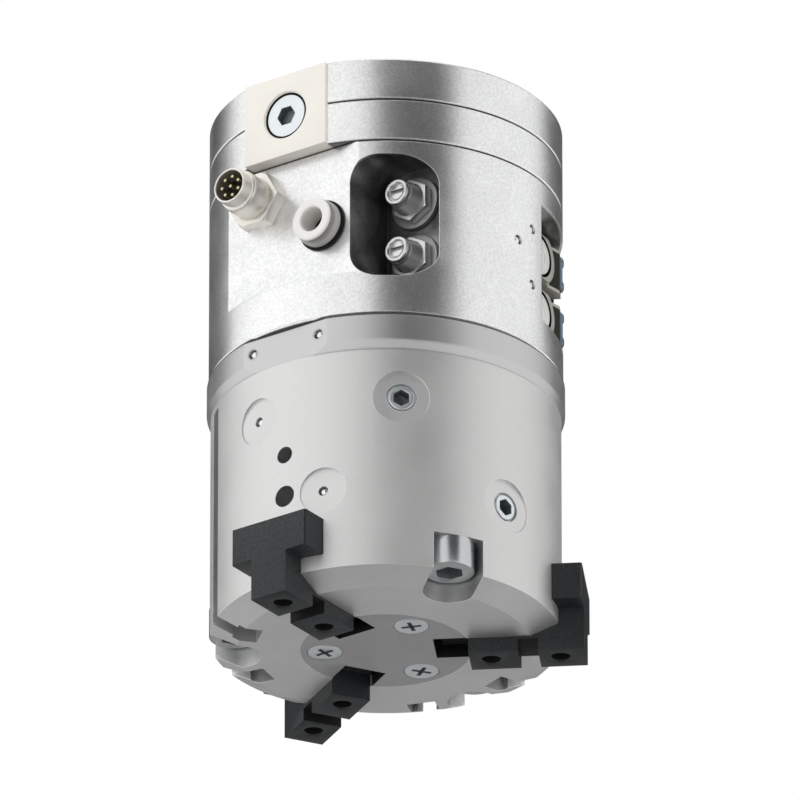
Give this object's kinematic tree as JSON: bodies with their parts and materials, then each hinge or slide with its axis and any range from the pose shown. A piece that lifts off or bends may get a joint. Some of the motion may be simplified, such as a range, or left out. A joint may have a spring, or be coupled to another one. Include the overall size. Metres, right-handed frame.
{
  "type": "three-finger pneumatic gripper",
  "caption": "Round centric gripper for a robot wrist: a pneumatic piston and wedge hook slide three T-bar jaws in and out together, with a valve module on top.",
  "frame": {"origin": "centre of the robot flange face", "axes": "+Z out of the flange towards the robot, -Y towards the connector side; the jaws point at -90, 30 and 150 degrees from +X"},
  "size_m": [0.1238, 0.1244, 0.1862],
  "materials": {
    "turned_aluminium": "turned and blasted",
    "anodised_aluminium": "satin anodised",
    "collar_aluminium": "satin anodised",
    "cover_steel": "fine ground",
    "jaw_steel": "blackened",
    "clamp_cream": "satin paint",
    "zinc_screw": "zinc plated",
    "bright_screw": "plain bright",
    "nickel": "nickel plated",
    "contact_gold": "gold plated",
    "black_plastic": "matt",
    "white_plastic": "satin",
    "grey_plastic": "satin",
    "beige_plastic": "satin",
    "blue_plastic": "satin",
    "board": "circuit board",
    "seal_rubber": "matt",
    "bearing_plastic": "filled bearing plastic",
    "ball_steel": "polished",
    "hard_steel": "hardened and ground"
  },
  "bodies": {
    "housing_body": {"adapter_plate": "turned_aluminium", "locking_plate": "turned_aluminium", "locking_screws": "zinc_screw", "clamp_plate": "clamp_cream", "clamp_screw": "zinc_screw", "module_housing": "turned_aluminium", "connector_shell": "nickel", "connector_nut": "nickel", "connector_insert": "black_plastic", "connector_pins": "contact_gold", "control_board": "board", "air_fitting_seal": "seal_rubber", "air_fitting_body": "grey_plastic", "tube_seal": "seal_rubber", "valve_cover_screws": "zinc_screw", "cylinder_cover": "collar_aluminium", "cover_seal": "seal_rubber", "sealing_balls": "ball_steel", "gripper_housing": "anodised_aluminium", "port_plugs": "zinc_screw", "rod_guide": "anodised_aluminium", "rod_seal": "seal_rubber", "retaining_ring": "hard_steel", "centre_cover": "cover_steel", "centre_cover_screws": "zinc_screw", "mounting_screws": "bright_screw", "throttle_flange_1": "nickel", "throttle_body_1": "nickel", "valve_block_1": "beige_plastic", "valve_cap_1": "white_plastic", "valve_coil_1": "black_plastic", "valve_cover_1": "blue_plastic", "throttle_flange_2": "nickel", "throttle_body_2": "nickel", "valve_block_2": "beige_plastic", "valve_cap_2": "white_plastic", "valve_coil_2": "black_plastic", "valve_cover_2": "blue_plastic"},
    "piston_group": {"piston": "anodised_aluminium", "piston_seal": "seal_rubber", "piston_guide_band": "bearing_plastic", "piston_magnet": "hard_steel", "piston_screw": "zinc_screw", "wedge_hook": "hard_steel"},
    "jaw_body_1": {"jaw_1": "jaw_steel"},
    "jaw_body_2": {"jaw_2": "jaw_steel"},
    "jaw_body_3": {"jaw_3": "jaw_steel"},
    "collar_body": {"release_collar": "white_plastic"},
    "adjuster_body_1": {"adjusting_screw_1": "nickel"},
    "adjuster_body_2": {"adjusting_screw_2": "nickel"}
  },
  "joints": [
    {"name": "piston_slide", "type": "slide", "parent": "housing_body", "child": "piston_group", "axis": [0, 0, 1], "range_m": [0, 0.01]},
    {"name": "jaw_1_slide", "type": "slide", "parent": "housing_body", "child": "jaw_body_1", "axis": [0, -1, 0], "range_m": [-0.01, 0]},
    {"name": "jaw_2_slide", "type": "slide", "parent": "housing_body", "child": "jaw_body_2", "axis": [0.866, 0.5, 0], "range_m": [-0.01, 0]},
    {"name": "jaw_3_slide", "type": "slide", "parent": "housing_body", "child": "jaw_body_3", "axis": [-0.866, 0.5, 0], "range_m": [-0.01, 0]},
    {"name": "collar_push", "type": "slide", "parent": "housing_body", "child": "collar_body", "axis": [0, 1, 0], "range_m": [0, 0.0015], "stiffness_N_per_m": 300},
    {"name": "throttle_turn_1", "type": "hinge", "parent": "housing_body", "child": "adjuster_body_1", "pos_m": [0.0334, -0.039, -0.04575], "axis": [0, -1, 0], "range_deg": [0, 1170]},
    {"name": "throttle_turn_2", "type": "hinge", "parent": "housing_body", "child": "adjuster_body_2", "pos_m": [0.0334, -0.039, -0.06595], "axis": [0, -1, 0], "range_deg": [0, 1170]}
  ],
  "couplings": [
    {"joint": "jaw_1_slide", "follows": "piston_slide", "ratio": -1},
    {"joint": "jaw_2_slide", "follows": "piston_slide", "ratio": -1},
    {"joint": "jaw_3_slide", "follows": "piston_slide", "ratio": -1}
  ]
}
